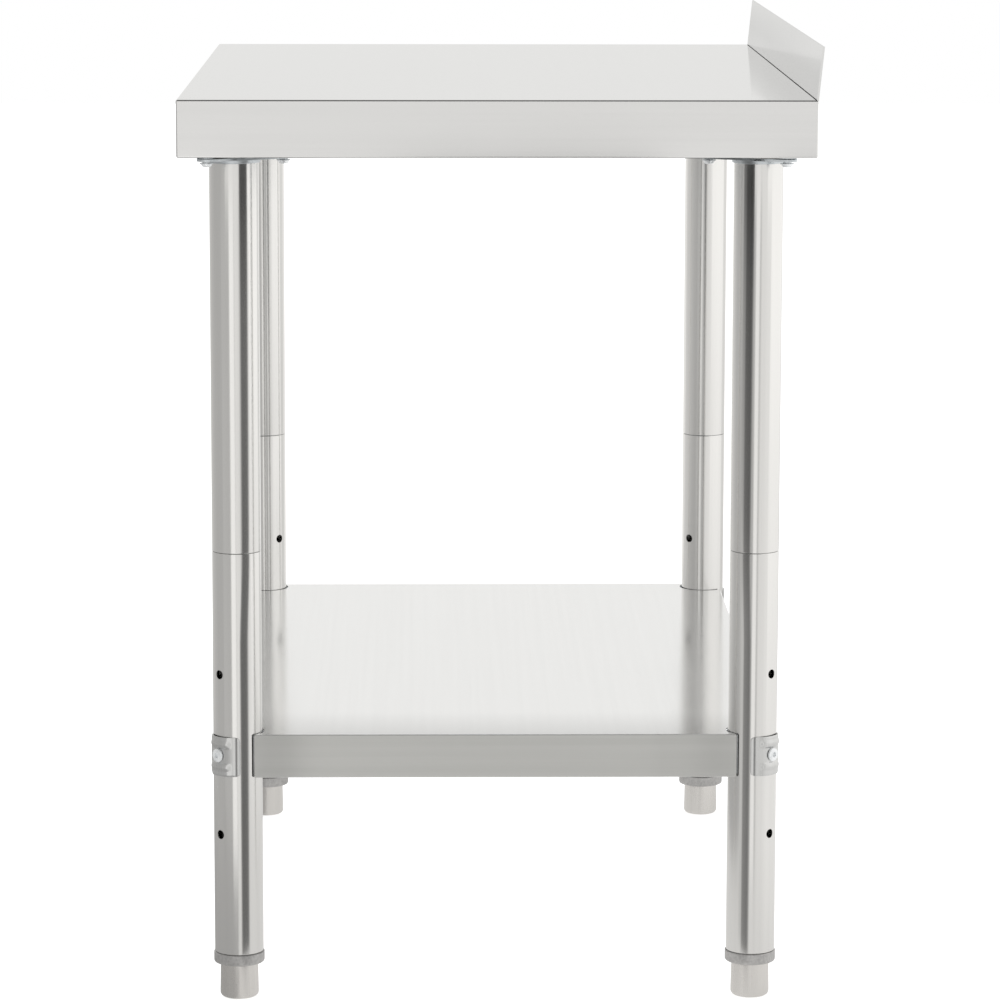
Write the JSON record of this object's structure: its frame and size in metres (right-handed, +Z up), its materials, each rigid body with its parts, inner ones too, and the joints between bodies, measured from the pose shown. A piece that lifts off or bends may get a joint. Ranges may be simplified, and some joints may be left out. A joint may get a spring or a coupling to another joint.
{
  "type": "stainless work table",
  "caption": "Stainless work table with a rear upstand, tubular two-piece legs, an undershelf that moves between leg holes, and levelling feet.",
  "frame": {"origin": "on the floor under the middle of the table's box", "axes": "+Z up, +X along the table's length, +Y towards the rear edge with the upstand, front at -Y"},
  "size_m": [0.914, 0.615, 0.9415],
  "materials": {
    "sheet_steel": "satin brushed stainless sheet",
    "tube_steel": "lengthwise brushed stainless tube",
    "cup_steel": "turned satin stainless",
    "galvanised": "galvanised steel sheet",
    "zinc_plated": "bright zinc-plated steel",
    "cast_grey": "matte cast alloy"
  },
  "bodies": {
    "frame": {"table_top": "sheet_steel", "top_channel_middle": "galvanised", "top_channel_left": "galvanised", "top_channel_right": "galvanised", "leg_flange_front_left": "galvanised", "flange_bolt_front_left_1": "zinc_plated", "flange_bolt_front_left_2": "zinc_plated", "flange_bolt_front_left_3": "zinc_plated", "leg_upper_front_left": "tube_steel", "leg_lower_front_left": "tube_steel", "leg_sleeve_front_left": "galvanised", "foot_socket_front_left": "cast_grey", "leg_flange_front_right": "galvanised", "flange_bolt_front_right_1": "zinc_plated", "flange_bolt_front_right_2": "zinc_plated", "flange_bolt_front_right_3": "zinc_plated", "leg_upper_front_right": "tube_steel", "leg_lower_front_right": "tube_steel", "leg_sleeve_front_right": "galvanised", "foot_socket_front_right": "cast_grey", "leg_flange_rear_left": "galvanised", "flange_bolt_rear_left_1": "zinc_plated", "flange_bolt_rear_left_2": "zinc_plated", "flange_bolt_rear_left_3": "zinc_plated", "leg_upper_rear_left": "tube_steel", "leg_lower_rear_left": "tube_steel", "leg_sleeve_rear_left": "galvanised", "foot_socket_rear_left": "cast_grey", "leg_flange_rear_right": "galvanised", "flange_bolt_rear_right_1": "zinc_plated", "flange_bolt_rear_right_2": "zinc_plated", "flange_bolt_rear_right_3": "zinc_plated", "leg_upper_rear_right": "tube_steel", "leg_lower_rear_right": "tube_steel", "leg_sleeve_rear_right": "galvanised", "foot_socket_rear_right": "cast_grey"},
    "shelf": {"undershelf": "sheet_steel", "shelf_channel": "galvanised", "shelf_saddle_front_left": "sheet_steel", "shelf_bracket_front_left": "galvanised", "shelf_screw_front_left": "zinc_plated", "shelf_saddle_front_right": "sheet_steel", "shelf_bracket_front_right": "galvanised", "shelf_screw_front_right": "zinc_plated", "shelf_saddle_rear_left": "sheet_steel", "shelf_bracket_rear_left": "galvanised", "shelf_screw_rear_left": "zinc_plated", "shelf_saddle_rear_right": "sheet_steel", "shelf_bracket_rear_right": "galvanised", "shelf_screw_rear_right": "zinc_plated"},
    "foot_front_left": {"foot_stem_front_left": "zinc_plated", "foot_cup_front_left": "cup_steel"},
    "foot_front_right": {"foot_stem_front_right": "zinc_plated", "foot_cup_front_right": "cup_steel"},
    "foot_rear_left": {"foot_stem_rear_left": "zinc_plated", "foot_cup_rear_left": "cup_steel"},
    "foot_rear_right": {"foot_stem_rear_right": "zinc_plated", "foot_cup_rear_right": "cup_steel"}
  },
  "joints": [
    {"name": "shelf_height", "type": "slide", "parent": "frame", "child": "shelf", "axis": [0, 0, 1], "range_m": [-0.08, 0.08], "deforming": ["shelf_screw_front_left", "shelf_screw_front_right", "shelf_screw_rear_left", "shelf_screw_rear_right"]},
    {"name": "foot_height_front_left", "type": "slide", "parent": "frame", "child": "foot_front_left", "axis": [0, 0, -1], "range_m": [0, 0.025]},
    {"name": "foot_height_front_right", "type": "slide", "parent": "frame", "child": "foot_front_right", "axis": [0, 0, -1], "range_m": [0, 0.025]},
    {"name": "foot_height_rear_left", "type": "slide", "parent": "frame", "child": "foot_rear_left", "axis": [0, 0, -1], "range_m": [0, 0.025]},
    {"name": "foot_height_rear_right", "type": "slide", "parent": "frame", "child": "foot_rear_right", "axis": [0, 0, -1], "range_m": [0, 0.025]}
  ]
}
